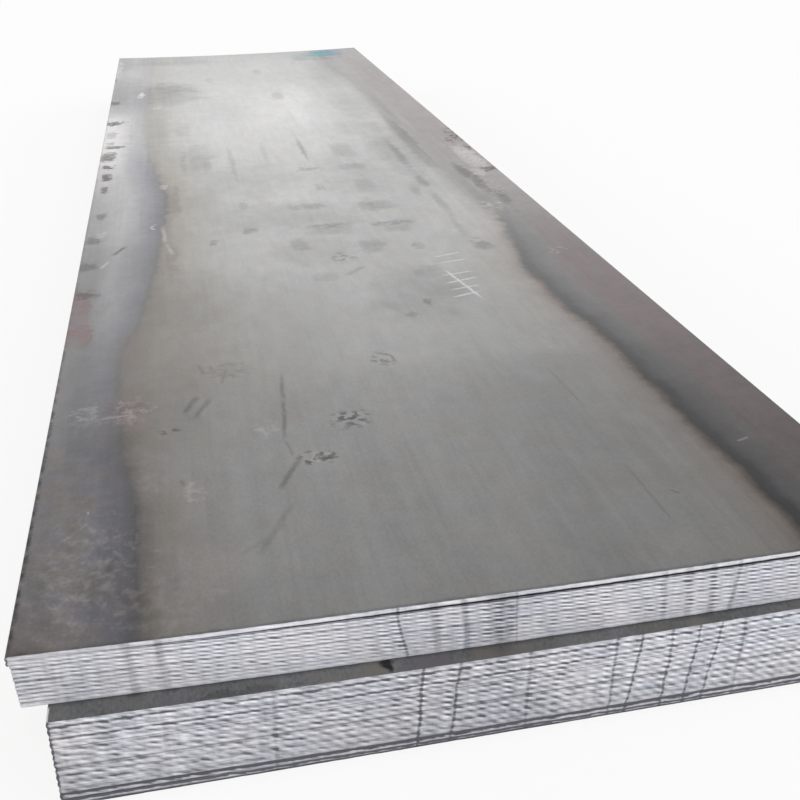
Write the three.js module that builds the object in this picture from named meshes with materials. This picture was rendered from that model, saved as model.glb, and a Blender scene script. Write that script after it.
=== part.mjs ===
// A pile of hot-rolled steel plate: two packs of like plates, one lying on the other.
// Millimetres, +Z up. +Y runs along the plates, from their near end to their far end.
// The origin is on the floor, under the middle of the pile's bounding box.
//
// Every plate was cut to length from a wide strip, so its two ends are sheared and its two long
// sides are the strip's own rolled edges. The plates are nested: each takes the bend of the one
// that it lies on, at a small clearance, and none of them touches its neighbour all over.

import * as THREE from 'three';

// ---- Driving dimensions (mm, degrees) -------------------------------------------------------

const plateWidth = 1500;
const plateLength = 6000;

const upperThickness = 7.75;
const upperCount = 12;
const lowerThickness = 11.75;
const lowerCount = 13;

// Between the faces of two neighbouring plates, where they lie closest. The upper pack's plates
// are the flatter ones and nest closer.
const upperGap = 0.1;
const lowerGap = 0.3;
const packGap = 0.3;

// The burrs and scale at the long edges hold the lower plates apart, so each one lies this much
// higher at its edges than in its middle, measured on the plate under it.
const edgeStandOff = 0.75;

// How the lower pack lies under the upper one: its near left corner, measured from the upper
// pack's near left corner, and its turn about the vertical.
const lowerShiftRight = 47.3;
const lowerShiftNear = 41.6;
const lowerTurn = 0.7;

// Sideways places within the upper pack: it leans, and its topmost plates slid together.
const upperLean = 4;
const slidPlates = 2;
const slidDistance = 4;

// Sideways and endways scatter of single plates, each way from their line.
const sideScatter = 0.5;
const endScatter = 0.9;

// Sheared end: the rolled-over edge, the smooth cut below it, and the broken part that leans in.
const rollOverShare = 0.11; // of the thickness
const rollOverDepth = 0.7;
const smoothCutShare = 0.35;
const breakLean = 0.45;

// The plate on the floor was cut with a worn blade, which left it a heavier rolled-over edge.
const wornRollOverShare = 0.2;
const wornRollOverDepth = 2.2;

// Rolled long edge: a shallow barrel.
const barrelDepth = 1.6;

// The top plate springs up a little at its near right corner.
const springRise = 2.6;
const springStart = 150; // from the left edge, where the rise begins
const springFull = 750; // from the left edge, where it is whole
const springLength = 1700; // from the near end, where it has died out

// ---- Facets ---------------------------------------------------------------------------------

const widthSteps = 11; // odd, so that a level facet runs down the middle
const springSteps = 5;
const rollOverMid = 0.35; // where a rolled-over edge is drawn between its start and its end

// ---- Materials ------------------------------------------------------------------------------

const steelColour = 0x82827f;
const upperFinish = { color: steelColour, roughness: 0.42, metalness: 0.85 };
const lowerFinish = { color: 0x6b6b6c, roughness: 0.5, metalness: 0.8 };

// ---- Small helpers --------------------------------------------------------------------------

const smoothRamp = (value, start, end) => THREE.MathUtils.smoothstep(value, start, end);

// A repeatable scatter between -1 and 1 for the plate of this number.
const scatter = (number, stride) => Math.sin(number * stride);
const sideStride = 2.4;
const endStride = 3.9;

// ---- Edge shapes ----------------------------------------------------------------------------

// How far a sheared end lies back from its foremost line, at a depth below the face that the
// blade met first.
function shearedInset(depth, thickness, cut) {
  const rollOver = thickness * cut.rollOverShare;
  if (depth < rollOver) {
    const up = 1 - depth / rollOver;
    return cut.rollOverDepth * (1 - Math.sqrt(1 - up * up));
  }
  const smoothEnd = thickness * smoothCutShare;
  return breakLean * Math.max(0, (depth - smoothEnd) / (thickness - smoothEnd));
}

// How far a rolled edge lies back from the middle of its barrel.
function barrelInset(height, thickness) {
  const away = (2 * height) / thickness - 1;
  return barrelDepth * away * away;
}

// The heights at which a plate's outline is drawn. They serve both ends, whose cuts are upside
// down to each other, so they lie evenly about the middle of the thickness.
function outlineHeights(thickness, cut) {
  const rollOver = thickness * cut.rollOverShare;
  const smoothEnd = thickness * smoothCutShare;
  const below = [0, rollOver * rollOverMid, rollOver, smoothEnd];
  const above = below.map((height) => thickness - height).reverse();
  return [...below, thickness / 2, ...above];
}

// ---- One plate ------------------------------------------------------------------------------

// The places along the plate of its cross lines. Only a plate that bends lengthways has more
// than its two ends.
function crossLines(length, springs) {
  if (!springs) return [0, length];
  const lines = Array.from({ length: springSteps + 1 }, (_, step) => (springLength * step) / springSteps);
  return [...lines.filter((line) => line < length), length];
}

// A plate as one closed body. Its own frame has x from -width/2 to width/2, y from 0 to length
// and z from 0 to thickness, and rise(x, y) lifts each point of it.
function plateGeometry({ width, length, thickness, cut, springs, rise }) {
  const heights = outlineHeights(thickness, cut);
  const rows = crossLines(length, springs);
  const columns = widthSteps + 1;
  const lastRow = rows.length - 1;
  const positions = [];

  // A layer is a full grid of points. Inside points matter only on the lowest and highest layer.
  for (const height of heights) {
    const side = barrelInset(height, thickness);
    const nearInset = shearedInset(thickness - height, thickness, cut);
    const farInset = shearedInset(height, thickness, cut);
    rows.forEach((row, rowNumber) => {
      let y = row;
      if (rowNumber === 0) y += nearInset;
      if (rowNumber === lastRow) y -= farInset;
      for (let column = 0; column < columns; column += 1) {
        const x = (width - 2 * side) * (column / widthSteps - 0.5);
        positions.push(x, y, height + rise(x, y));
      }
    });
  }

  const layerSize = rows.length * columns;
  const at = (layer, row, column) => layer * layerSize + row * columns + column;
  const triangles = [];
  const quad = (a, b, c, d) => triangles.push(a, b, c, a, c, d);
  const top = heights.length - 1;

  for (let row = 0; row < lastRow; row += 1) {
    for (let column = 0; column < widthSteps; column += 1) {
      quad(at(0, row, column), at(0, row + 1, column), at(0, row + 1, column + 1), at(0, row, column + 1));
      quad(
        at(top, row, column),
        at(top, row, column + 1),
        at(top, row + 1, column + 1),
        at(top, row + 1, column),
      );
    }
  }
  for (let layer = 0; layer < top; layer += 1) {
    const up = layer + 1;
    for (let column = 0; column < widthSteps; column += 1) {
      quad(at(layer, 0, column), at(layer, 0, column + 1), at(up, 0, column + 1), at(up, 0, column));
      quad(
        at(layer, lastRow, column + 1),
        at(layer, lastRow, column),
        at(up, lastRow, column),
        at(up, lastRow, column + 1),
      );
    }
    for (let row = 0; row < lastRow; row += 1) {
      quad(at(layer, row + 1, 0), at(layer, row, 0), at(up, row, 0), at(up, row + 1, 0));
      quad(
        at(layer, row, widthSteps),
        at(layer, row + 1, widthSteps),
        at(up, row + 1, widthSteps),
        at(up, row, widthSteps),
      );
    }
  }

  const geometry = new THREE.BufferGeometry();
  geometry.setAttribute('position', new THREE.Float32BufferAttribute(positions, 3));
  geometry.setIndex(triangles);
  geometry.computeVertexNormals();
  return geometry;
}

// ---- How the pile bends ---------------------------------------------------------------------

// The rise of a plate above its level middle, for a plate with this many gaps under it, at a
// place measured across the pile from the middle of the upper pack. Only the lower pack's gaps
// widen towards the edges, so the upper plates all take the bend of the lower pack's top plate.
function dishRise(gapsBelow, across) {
  const gaps = Math.min(gapsBelow, lowerCount - 1);
  const share = (2 * across) / plateWidth;
  return edgeStandOff * gaps * share * share;
}

// What the top plate adds to that, at a place in its own frame.
function springUp(x, y) {
  const fromLeft = x + plateWidth / 2;
  const left = Math.max(0, 1 - y / springLength);
  return springRise * smoothRamp(fromLeft, springStart, springFull) * left * left;
}

// ---- The two packs --------------------------------------------------------------------------

// A pack is a group whose frame has its origin at the middle of its near end, on its underside.
// acrossPile turns a place in that frame into a distance across the pile, sidePlace and cutOf
// give a plate's place sideways and its cut by its number, counted from the pack's bottom plate.
function buildPack(spec) {
  const { name, count, thickness, gap, finish } = spec;
  const { gapsBelowPack, sidePlace, cutOf, springTop, acrossPile } = spec;
  const pack = new THREE.Group();
  for (let number = 1; number <= count; number += 1) {
    const slideX = sidePlace(number);
    const slideY = endScatter * scatter(number, endStride);
    const gapsBelow = gapsBelowPack + number - 1;
    const springs = springTop && number === count;
    const rise = (x, y) => {
      const dish = dishRise(gapsBelow, acrossPile(x + slideX, y + slideY));
      return springs ? dish + springUp(x, y) : dish;
    };
    const geometry = plateGeometry({
      width: plateWidth,
      length: plateLength,
      thickness,
      cut: cutOf(number),
      springs,
      rise,
    });
    const plate = new THREE.Mesh(geometry, new THREE.MeshStandardMaterial(finish));
    plate.name = `${name}_plate_${String(number).padStart(2, '0')}`;
    plate.position.set(slideX, slideY, (number - 1) * (thickness + gap));
    pack.add(plate);
  }
  return pack;
}

const cleanCut = { rollOverShare, rollOverDepth };
const wornCut = { rollOverShare: wornRollOverShare, rollOverDepth: wornRollOverDepth };
const turn = THREE.MathUtils.degToRad(lowerTurn);
const lowerHeight = lowerCount * lowerThickness + (lowerCount - 1) * lowerGap;

// The lower pack's frame: the middle of its near end, from its near left corner.
const halfWidth = plateWidth / 2;
const lowerMiddleX = lowerShiftRight - halfWidth + halfWidth * Math.cos(turn);
const lowerMiddleY = -lowerShiftNear + halfWidth * Math.sin(turn);

const lowerPack = buildPack({
  name: 'lower',
  count: lowerCount,
  thickness: lowerThickness,
  gap: lowerGap,
  finish: lowerFinish,
  gapsBelowPack: 0,
  sidePlace: (number) => sideScatter * scatter(number, sideStride),
  cutOf: (number) => (number === 1 ? wornCut : cleanCut),
  springTop: false,
  acrossPile: (x, y) => lowerMiddleX + x * Math.cos(turn) - y * Math.sin(turn),
});
lowerPack.position.set(lowerMiddleX, lowerMiddleY, 0);
lowerPack.rotation.z = turn;

// The upper pack leans to the left as it rises, and its slid plates lie a step further left.
const upperSide = (number) => {
  const belowTop = upperCount - number;
  const lean = (upperLean * belowTop) / Math.max(1, upperCount - 1);
  const step = belowTop >= slidPlates ? slidDistance : 0;
  return lean + step + (step > 0 ? sideScatter * scatter(number, sideStride) : 0);
};

const upperPack = buildPack({
  name: 'upper',
  count: upperCount,
  thickness: upperThickness,
  gap: upperGap,
  finish: upperFinish,
  gapsBelowPack: lowerCount,
  sidePlace: upperSide,
  cutOf: () => cleanCut,
  springTop: true,
  acrossPile: (x) => x,
});
upperPack.position.set(0, 0, lowerHeight + packGap);

// ---- The pile, with its bounding box's middle over the origin --------------------------------

const pile = new THREE.Group();
pile.add(lowerPack, upperPack);
pile.updateMatrixWorld(true);
const middle = new THREE.Box3().setFromObject(pile, true).getCenter(new THREE.Vector3());
pile.position.set(-middle.x, -middle.y, 0);
pile.updateMatrixWorld(true);

export default pile;
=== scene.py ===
"""Builds the look of a pile of hot-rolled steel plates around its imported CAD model.

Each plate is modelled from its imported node, with the sheared ends left uneven as the shear leaves
them, and takes three finishes: one for its broad faces, one for its ends and one for its rolled
edges. Everything is in metres, in the pile's own frame: +Y along the plates, +Z up, floor at zero.
"""

import logging
import math
from dataclasses import dataclass, field, replace
from enum import Enum
from typing import Any, Callable, Sequence, Union

import bpy
from mathutils import Matrix, Vector


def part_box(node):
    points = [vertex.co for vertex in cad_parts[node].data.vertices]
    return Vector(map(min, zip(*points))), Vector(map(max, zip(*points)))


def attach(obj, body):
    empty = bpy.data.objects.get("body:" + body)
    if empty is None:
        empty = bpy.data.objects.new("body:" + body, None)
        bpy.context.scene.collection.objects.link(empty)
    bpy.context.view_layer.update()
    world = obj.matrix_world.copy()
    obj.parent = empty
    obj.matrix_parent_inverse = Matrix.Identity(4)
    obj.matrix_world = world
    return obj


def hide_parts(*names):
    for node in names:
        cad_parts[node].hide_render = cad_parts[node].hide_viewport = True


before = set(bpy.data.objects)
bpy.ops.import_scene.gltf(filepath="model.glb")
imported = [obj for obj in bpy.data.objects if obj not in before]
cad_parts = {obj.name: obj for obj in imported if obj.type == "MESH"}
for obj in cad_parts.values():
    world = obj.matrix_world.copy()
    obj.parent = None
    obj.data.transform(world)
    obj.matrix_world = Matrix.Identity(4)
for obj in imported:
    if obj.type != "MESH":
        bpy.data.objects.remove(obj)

LOG = logging.getLogger("plate_pile")
MM = 0.001
HALF = 0.5

Colour = tuple[float, float, float]
Number = Union["Value", float]
Points = tuple[tuple[float, float], ...]
Stops = tuple[tuple[float, Colour], ...]
Inputs = Union[Sequence[Any], dict[Any, Any]]
# Where a smooth step starts and where it is whole.
Ease = tuple[float, float]
# A factor and a shift, for a share that is kept between 0 and 1.
Slope = tuple[float, float]


# ---- Shader maths ---------------------------------------------------------------------------


def maths(operation: str, comes_last: bool = False) -> Callable[..., "Value"]:
    """Makes a method of Value that adds one Math node.

    Args:
        operation: the node's operation.
        comes_last: whether the value is the last of the node's terms, not the first.

    Returns:
        The method, which takes the node's other terms.
    """

    def method(value: "Value", *others: Number) -> "Value":
        """Adds the node."""
        return value.nodes.maths(operation, *((*others, value) if comes_last else (value, *others)))

    return method


class Value:
    """A number that varies over a surface. Arithmetic on it adds Math nodes to its material."""

    __add__ = __radd__ = maths("ADD")
    __sub__ = maths("SUBTRACT")
    __rsub__ = maths("SUBTRACT", comes_last=True)
    __mul__ = __rmul__ = maths("MULTIPLY")
    __truediv__ = maths("DIVIDE")
    __abs__ = maths("ABSOLUTE")
    at_least, at_most = maths("MAXIMUM"), maths("MINIMUM")
    # The whole number at or under it, and what it has over that.
    whole, part = maths("FLOOR"), maths("FRACT")
    # This times a factor, plus a shift.
    scaled = maths("MULTIPLY_ADD")

    def __init__(self, nodes: "Nodes", socket: bpy.types.NodeSocket) -> None:
        """Wraps one output socket of the nodes."""
        self.nodes, self.socket = nodes, socket

    def held(self) -> "Value":
        """This kept between 0 and 1."""
        return self.at_least(0.0).at_most(1.0)

    def share(self, slope: Slope) -> "Value":
        """This times the slope's factor, plus its shift, kept between 0 and 1."""
        return self.scaled(*slope).held()

    def rise(self, start: float, end: float, low: float = 0.0, high: float = 1.0) -> "Value":
        """Goes smoothly from low at the start value to high at the end value, and stays there.

        Args:
            start: the value where the change begins.
            end: the value where it is whole. It may be under the start.
            low: the result before the start.
            high: the result past the end.

        Returns:
            The smoothed value.
        """
        settings = {"interpolation_type": "SMOOTHSTEP", "clamp": False}
        return self.nodes.value("ShaderNodeMapRange", settings, [self, start, end, low, high])

    def line(self, points: Points) -> "Value":
        """Reads a smooth curve drawn through a few points.

        Args:
            points: pairs of a value and the result there, with the values rising.

        Returns:
            The curve's result, level before the first point and past the last.
        """
        first, last = points[0][0], points[-1][0]
        results = [result for _, result in points]
        low, high = min(results), max(results)
        span, reach = last - first, (high - low) or 1.0
        stops = [((at - first) / span, (result - low) / reach) for at, result in points]
        share = self.nodes.value("ShaderNodeMapRange", {}, [self, first, last, 0.0, 1.0])
        drawn = self.nodes.value("ShaderNodeFloatCurve", {"points": stops}, {"Value": share})
        return drawn * reach + low


@dataclass(frozen=True)
class Grain:
    """The looks of a noise: its clouds to a metre each way, how far a seed moves it, its layers."""

    across: float
    along: float
    seeded: float = 1.0
    layers: float = 2.0
    rough: float = 0.5


class Nodes:
    """The node tree of one material or world, filled by calls that read like a recipe."""

    def __init__(self, tree: bpy.types.NodeTree) -> None:
        """Starts with an empty tree."""
        self.tree = tree
        tree.nodes.clear()

    def add(self, kind: str, settings: dict[str, Any], inputs: Inputs = ()) -> bpy.types.Node:
        """Adds one node.

        Args:
            kind: the node's type.
            settings: its properties, set before its sockets. "stops" fills a colour ramp and
                "points" a curve.
            inputs: values or links for its input sockets, in order or by name or number.

        Returns:
            The new node.
        """
        node = self.tree.nodes.new(kind)
        for name, setting in settings.items():
            if name == "stops":
                self.fill_ramp(node.color_ramp, setting)
            elif name == "points":
                self.fill_curve(node.mapping, setting)
            else:
                setattr(node, name, setting)
        for key, given in inputs.items() if isinstance(inputs, dict) else enumerate(inputs):
            source = given.socket if isinstance(given, Value) else given
            if isinstance(source, bpy.types.NodeSocket):
                self.tree.links.new(source, node.inputs[key])
            else:
                node.inputs[key].default_value = source
        return node

    @staticmethod
    def fill_ramp(ramp: bpy.types.ColorRamp, stops: Stops) -> None:
        """Gives a colour ramp its stops, of which it comes with two.

        Args:
            ramp: the ramp.
            stops: pairs of a place from 0 to 1 and the colour there.
        """
        while len(ramp.elements) < len(stops):
            ramp.elements.new(1.0)
        for element, (place, colour) in zip(ramp.elements, stops):
            element.position = place
            element.color = (*colour, 1.0)

    @staticmethod
    def fill_curve(mapping: bpy.types.CurveMapping, points: Points) -> None:
        """Gives a curve its points, of which it comes with two.

        Args:
            mapping: what holds the curve.
            points: pairs of numbers from 0 to 1.
        """
        curve = mapping.curves[0]
        while len(curve.points) < len(points):
            curve.points.new(1.0, 1.0)
        for point, place in zip(curve.points, points):
            point.location = place
        mapping.update()

    def value(self, kind: str, settings: dict[str, Any], inputs: Inputs = (), output: int = 0) -> Value:
        """Adds a node and returns one of its outputs as a value."""
        return Value(self, self.add(kind, settings, inputs).outputs[output])

    def maths(self, operation: str, *terms: Number) -> Value:
        """Adds a Math node with that operation on those terms."""
        return self.value("ShaderNodeMath", {"operation": operation}, terms)

    def vector_maths(self, operation: str, inputs: Inputs, output: int = 0) -> Value:
        """Adds a Vector Math node with that operation on those inputs."""
        return self.value("ShaderNodeVectorMath", {"operation": operation}, inputs, output)

    def vector(self, x: Number, y: Number, z: Number = 0.0) -> Value:
        """Joins three numbers into a vector."""
        return self.value("ShaderNodeCombineXYZ", {}, (x, y, z))

    def grain(self, grain: Grain, x: Value, y: Value, seed: Number = 0.0) -> Value:
        """Cloudy noise about zero.

        Args:
            grain: its looks.
            x: where it is read, across.
            y: where it is read, along.
            seed: a number that gives another noise with the same looks.

        Returns:
            The noise, mostly between -0.3 and 0.3.
        """
        place = self.vector(x * grain.across, y * grain.along, seed * grain.seeded)
        inputs = {"Vector": place, "Scale": 1.0, "Detail": grain.layers, "Roughness": grain.rough}
        return self.value("ShaderNodeTexNoise", {}, inputs) - HALF

    def chance(self, x: Number, y: Number, z: Number = 0.0) -> Value:
        """A number from 0 to 1 that jumps about with the three given."""
        place = self.vector(x, y, z)
        return self.value("ShaderNodeTexWhiteNoise", {"noise_dimensions": "3D"}, {"Vector": place})

    def mix(self, factor: Number, first: Any, second: Any, how: str = "MIX") -> Value:
        """Mixes two colours, each one a link or a plain colour.

        Args:
            factor: how much of the second shows.
            first: the colour underneath.
            second: the colour on top.
            how: the Mix node's blend type.

        Returns:
            The mixed colour.
        """
        under, over = ((*c, 1.0) if isinstance(c, tuple) else c for c in (first, second))
        factor_socket, under_socket, over_socket, colour_output = 0, 6, 7, 2
        inputs = {factor_socket: factor, under_socket: under, over_socket: over}
        settings = {"data_type": "RGBA", "blend_type": how}
        return self.value("ShaderNodeMix", settings, inputs, colour_output)

    def shade(self, colour: Any, tone: Value) -> Value:
        """A colour made lighter or darker by a number."""
        grey = self.value("ShaderNodeCombineColor", {}, (tone, tone, tone))
        return self.mix(1.0, colour, grey, "MULTIPLY")

    def ramp(self, at: Value, stops: Stops) -> Value:
        """Reads a colour off a row of stops.

        Args:
            at: where it is read.
            stops: pairs of a place and the colour there, with the places rising.

        Returns:
            The colour, level before the first stop and past the last.
        """
        first, last = stops[0][0], stops[-1][0]
        share = self.value("ShaderNodeMapRange", {}, (at, first, last, 0.0, 1.0))
        places = [((place - first) / (last - first), colour) for place, colour in stops]
        return self.value("ShaderNodeValToRGB", {"stops": places}, [share])


# ---- Where things lie -----------------------------------------------------------------------


def smooth_step(share: float) -> float:
    """Goes smoothly from 0 to 1 as the share does, and stays there."""
    held = min(1.0, max(0.0, share))
    return held * held * (3.0 - 2.0 * held)


@dataclass(frozen=True)
class Place:
    """Where a point of a pack lies, as numbers for a finish to read.

    Its layer counts the pack's plates from their underside, so the whole part says which plate
    the point is on and the rest how far up that plate it lies.
    """

    nodes: "Nodes"
    x: Value
    y: Value
    z: Value
    across: Value
    along: Value
    layer: Value
    plates: int


@dataclass(frozen=True)
class Stack:
    """The sizes that place any plate of one pack. The plates lie in a shallow trough.

    The top plate springs off the one below it, more and more from the spring's start across to
    its end, and less and less along the spring's reach.
    """

    name: str
    slot: str
    count: int
    thickness: float
    pitch: float
    base: float
    left: float
    near: float
    middle: float
    rise: float
    rise_step: float
    spring: float = 0.0
    half_width: float = 0.75
    spring_start: float = 0.15
    spring_end: float = 0.75
    spring_reach: float = 1.7

    def node(self, number: int) -> str:
        """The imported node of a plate, counted from the pack's lowest."""
        return f"{self.name}_plate_{number:02d}"

    def underside(self, number: int, x: float) -> float:
        """The height of a plate's underside at the near end.

        Args:
            number: the plate, counted from the pack's lowest.
            x: a place across the pile.

        Returns:
            The height over the floor.
        """
        out = ((x - self.middle) / self.half_width) ** 2
        below = number - 1
        share = (x - self.left - self.spring_start) / (self.spring_end - self.spring_start)
        bent = out * (self.rise + self.rise_step * below)
        return self.base + self.pitch * below + bent + self.spring * smooth_step(share)

    def gap(self, x: float) -> float:
        """The gap between two plates at a place across the pile."""
        return self.pitch - self.thickness + self.rise_step * ((x - self.middle) / self.half_width) ** 2

    def place(self, nodes: Nodes) -> Place:
        """Adds the nodes that say where a point lies.

        Args:
            nodes: the material's nodes.

        Returns:
            The point's place.
        """
        spot = nodes.add("ShaderNodeTexCoord", {}).outputs["Object"]
        split = nodes.add("ShaderNodeSeparateXYZ", {}, [spot])
        x, y, z = (Value(nodes, split.outputs[axis]) for axis in range(3))
        across, along = x - self.left, y - self.near
        out = x.scaled(1.0 / self.half_width, -self.middle / self.half_width)
        out = out * out
        level = z - self.base - out * self.rise
        if self.spring:
            ease = along.scaled(-1.0 / self.spring_reach, 1.0).at_least(0.0)
            level = level - across.rise(self.spring_start, self.spring_end) * ease * ease * self.spring
        layer = level / out.scaled(self.rise_step, self.pitch)
        return Place(nodes, x, y, z, across, along, layer, self.count)


# ---- Marks on a face ------------------------------------------------------------------------


@dataclass(frozen=True)
class Patch:
    """A soft oval mark with a ragged outline, placed by its middle and half sizes in metres."""

    x: float
    y: float
    half_width: float
    half_length: float
    strength: float = 1.0
    ragged: float = 1.2


@dataclass(frozen=True)
class Scuffs(Patch):
    """A patch of short dashes rubbed across the plate."""

    ragged: float = 0.8


@dataclass(frozen=True)
class Smudge(Patch):
    """A squarish patch that fades out softly and is worn through here and there."""


@dataclass(frozen=True)
class Wisps(Patch):
    """A patch of short wisps."""

    ragged: float = 1.4


@dataclass(frozen=True)
class Cloud(Patch):
    """A patch that fades out softly."""

    ragged: float = 0.8


@dataclass(frozen=True)
class Stroke:
    """A thin straight mark between two points, in metres."""

    start: tuple[float, float]
    end: tuple[float, float]
    width: float
    strength: float = 1.0
    ragged: float = 0.8


Mark = Union[Patch, Stroke]
Marks = tuple[Mark, ...]


class Drawing:
    """Draws marks on a plate's top face, in metres from its near left corner."""

    fine_grain: Grain = Grain(170.0, 170.0, rough=0.6)
    coarse_grain: Grain = Grain(30.0, 30.0, rough=0.6)
    soft_grain: Grain = Grain(9.0, 9.0, layers=3.0, rough=0.6)
    dash_grain: Grain = Grain(44.0, 46.0, layers=1.0)
    wisp_grain: Grain = Grain(52.0, 42.0, rough=0.6)
    soft_edge: float = 0.7
    worn_share: Slope = (2.2, 0.75)
    patchy_share: Slope = (2.0, 0.9)
    wisp_ease: Ease = (0.10, -0.26)
    dash_ease: Ease = (-0.02, 0.06)
    soft_outline: Ease = (1.5, -0.2)
    crisp_outline: Ease = (1.1, 0.1)
    stroke_ends: Ease = (0.55, 0.3)
    waver_across: float = 0.03
    waver_along: float = 0.04
    bend: float = 0.012
    # The number of a Vector Math node's output that is one number.
    scalar_output: int = 1

    def __init__(self, place: Place) -> None:
        """Adds the noise that breaks the marks.

        Args:
            place: where a point lies.
        """
        self.nodes = nodes = place.nodes
        self.x, self.y = x, y = place.across, place.along
        self.fine = nodes.grain(self.fine_grain, x, y)
        self.coarse = nodes.grain(self.coarse_grain, x, y)
        self.soft = nodes.grain(self.soft_grain, x, y)
        self.broken = self.fine + self.coarse
        self.edge = self.broken + self.soft * self.soft_edge
        self.worn = self.broken.share(self.worn_share)
        self.patchy = self.coarse.share(self.patchy_share)
        self.wisps = nodes.grain(self.wisp_grain, x, y)
        self.dashes = nodes.grain(self.dash_grain, x, y)
        across = x + self.coarse * self.waver_across + self.soft * self.waver_across
        along = y + self.coarse * y.scaled(self.waver_along, self.waver_across)
        self.patch_spot = nodes.vector(across, along)
        self.stroke_spot = nodes.vector(x + self.soft * self.bend, y)

    def patch(self, mark: Patch) -> Value:
        """Draws one patch, before its texture.

        Args:
            mark: the patch.

        Returns:
            How much of it lies at a point, up to its strength.
        """
        factor = (1.0 / mark.half_width, 1.0 / mark.half_length, 0.0)
        shift = (-mark.x / mark.half_width, -mark.y / mark.half_length, 0.0)
        away = self.nodes.vector_maths("MULTIPLY_ADD", [self.patch_spot, factor, shift])
        if isinstance(mark, Smudge):
            away = self.nodes.vector_maths("MULTIPLY", [away, away])
        out = self.nodes.vector_maths("DOT_PRODUCT", [away, away], self.scalar_output)
        ease = self.soft_outline if isinstance(mark, (Cloud, Smudge)) else self.crisp_outline
        noise = self.soft if isinstance(mark, (Cloud, Scuffs)) else self.edge
        outline = noise.scaled(2.0 * mark.ragged, out)
        return outline.rise(*ease, 0.0, mark.strength)

    def stroke(self, mark: Stroke) -> Value:
        """Draws one stroke, before its texture.

        Args:
            mark: the stroke.

        Returns:
            How much of it lies at a point, up to its strength.
        """
        scale_input = 3
        start, end = Vector((*mark.start, 0.0)), Vector((*mark.end, 0.0))
        run = end - start
        away = self.nodes.vector_maths("SUBTRACT", [self.stroke_spot, start])
        along = run / run.length_squared
        dot = self.nodes.vector_maths("DOT_PRODUCT", [away, along], self.scalar_output)
        nearest = self.nodes.vector_maths("SCALE", {0: run, scale_input: dot.held()})
        gap = self.nodes.vector_maths("DISTANCE", [away, nearest], self.scalar_output)
        broken = self.broken.scaled(mark.ragged * mark.width, gap)
        faded = abs(dot - HALF).rise(*self.stroke_ends)
        return broken.rise(mark.width, 0.0, 0.0, mark.strength) * faded

    def textured(self, kind: type, cover: Value, phase: float) -> Value:
        """Breaks up the cover of all the marks of one kind with the kind's own texture.

        Args:
            kind: the kind of mark.
            cover: what they cover.
            phase: 1 or -1, for dashes or wisps or for the gaps between them.

        Returns:
            The broken cover.
        """
        if kind is Smudge:
            return cover * self.worn
        if kind is Stroke:
            return cover * self.patchy
        if kind is Wisps:
            return cover * (self.wisps * phase).rise(*self.wisp_ease)
        return cover * (self.dashes * phase).rise(*self.dash_ease) if kind is Scuffs else cover

    def all(self, marks: Marks, phase: float = 1.0) -> Value:
        """The strongest of the marks at a point.

        Args:
            marks: the marks.
            phase: 1 or -1. Dashes and wisps drawn with one lie in the gaps of the other's.

        Returns:
            Their cover, each one's up to its strength.
        """
        covers: dict[type, Value] = {}
        for mark in marks:
            drawn = self.patch(mark) if isinstance(mark, Patch) else self.stroke(mark)
            kind = type(mark)
            covers[kind] = drawn.at_least(covers[kind]) if kind in covers else drawn
        strongest: Number = 0.0
        for kind, cover in covers.items():
            strongest = self.textured(kind, cover, phase).at_least(strongest)
        return strongest


# ---- Finishes -------------------------------------------------------------------------------


@dataclass(frozen=True)
class Coat:
    """What a finish gives to the shader. The bump is a height in metres."""

    colour: Value
    metallic: Number
    roughness: Number
    bump: Value


class Finish:
    """A finish for one kind of surface of a pack's plates."""

    def coat(self, place: Place) -> Coat:
        """Adds the nodes of the finish for a point at that place."""
        raise NotImplementedError

    def material(self, name: str, stack: Stack) -> bpy.types.Material:
        """Makes the material.

        Args:
            name: what it is called.
            stack: the pack whose plates wear it.

        Returns:
            The new material.
        """
        material = bpy.data.materials.new(name)
        material.use_nodes = True
        nodes = Nodes(material.node_tree)
        coat = self.coat(stack.place(nodes))
        inputs = {"Strength": 1.0, "Distance": 1.0, "Height": coat.bump}
        normal = nodes.value("ShaderNodeBump", {}, inputs)
        looks = {"Base Color": coat.colour, "Metallic": coat.metallic, "Roughness": coat.roughness}
        shader = nodes.add("ShaderNodeBsdfPrincipled", {}, {**looks, "Normal": normal})
        nodes.add("ShaderNodeOutputMaterial", {}, [shader.outputs[0]])
        return material


@dataclass(frozen=True)
class MillScale(Finish):
    """The blue-grey oxide skin of a hot-rolled face, clouded and drawn out along the plate."""

    tone: Colour = (0.42, 0.42, 0.417)
    metallic: float = 0.92
    roughness: float = 0.31
    strand_roughness: float = 0.1
    cloud: float = 0.24
    strand: float = 0.2
    speck: float = 0.2
    clouds: Grain = Grain(6.0, 3.6, 18.6, 3.0)
    strands: Grain = Grain(70.0, 1.5, 3.1, 3.0, 0.6)
    specks: Grain = Grain(190.0, 95.0, 589.0, 1.0)
    dents: Grain = Grain(14.0, 8.4, 43.4, 1.0)
    dent_depth: float = 0.4 * MM
    speck_depth: float = 0.05 * MM

    def coat(self, place: Place) -> Coat:
        """Adds the nodes of the plain scale.

        Args:
            place: where a point lies.

        Returns:
            The finish.
        """
        cloud, strand, speck, dent = (
            place.nodes.grain(grain, place.across, place.along, place.layer.whole())
            for grain in (self.clouds, self.strands, self.specks, self.dents)
        )
        tone = cloud * self.cloud + strand * self.strand + speck * self.speck + 1.0
        bump = dent * self.dent_depth + speck * self.speck_depth
        rough = strand.scaled(self.strand_roughness, self.roughness)
        return Coat(place.nodes.shade(self.tone, tone), self.metallic, rough, bump)


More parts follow.
